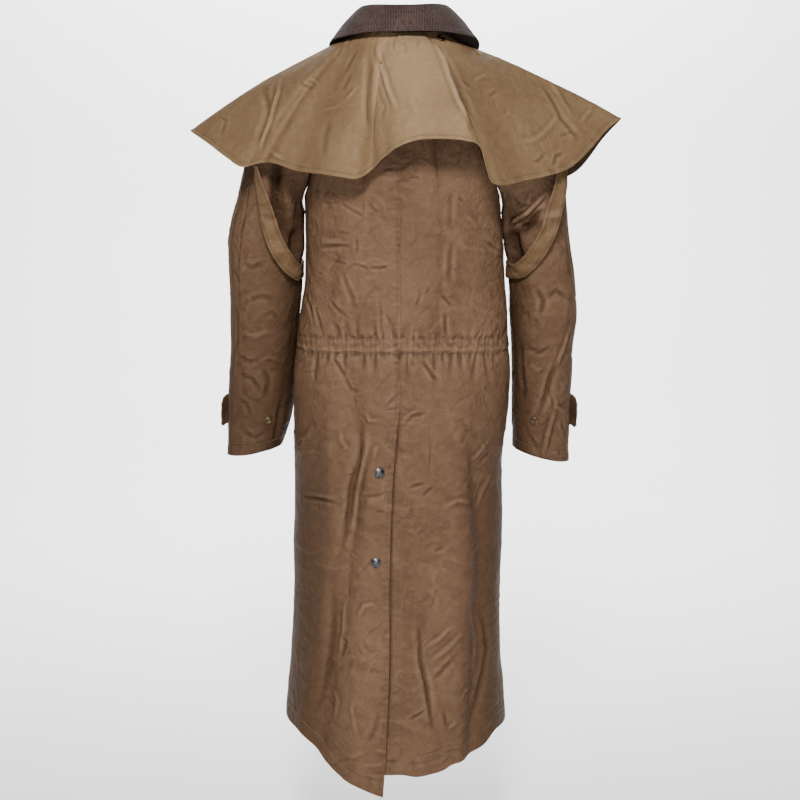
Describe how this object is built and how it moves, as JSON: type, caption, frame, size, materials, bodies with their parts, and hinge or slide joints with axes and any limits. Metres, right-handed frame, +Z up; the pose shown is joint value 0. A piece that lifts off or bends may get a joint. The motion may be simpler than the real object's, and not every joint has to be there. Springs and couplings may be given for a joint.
{
  "type": "long duster coat with a shoulder cape",
  "caption": "Long duster coat held open as if worn, with a waved shoulder cape, corduroy collar, drawn waist, arm straps and a lapped back vent.",
  "frame": {"origin": "middle of the neck base, where the wearer's shoulders hold the coat", "axes": "+Z up, the coat's front faces -Y, +X is the wearer's left"},
  "size_m": [0.747, 0.38, 1.3773],
  "materials": {
    "waxed_body": "waxed cotton, dull",
    "waxed_cape": "waxed cotton, dull",
    "corduroy": "fine corduroy",
    "gunmetal": "dark nickel",
    "antique_brass": "antique"
  },
  "bodies": {
    "root": {"arm_strap_left": "waxed_cape", "arm_strap_right": "waxed_cape", "back_left": "waxed_body", "back_right": "waxed_body", "cape": "waxed_cape", "collar": "corduroy", "cuff_snap_left": "antique_brass", "cuff_snap_right": "antique_brass", "cuff_tab_left": "waxed_body", "cuff_tab_right": "waxed_body", "front_left": "waxed_body", "front_right": "waxed_body", "front_snap_1": "gunmetal", "front_snap_2": "gunmetal", "front_snap_3": "gunmetal", "front_snap_4": "gunmetal", "front_snap_5": "gunmetal", "neck_snap": "antique_brass", "sleeve_under_left": "waxed_body", "sleeve_under_right": "waxed_body", "sleeve_upper_left": "waxed_body", "sleeve_upper_right": "waxed_body", "tab_snap_left": "gunmetal", "tab_snap_right": "gunmetal", "vent_snap_lower": "gunmetal", "vent_snap_upper": "gunmetal"}
  },
  "joints": []
}
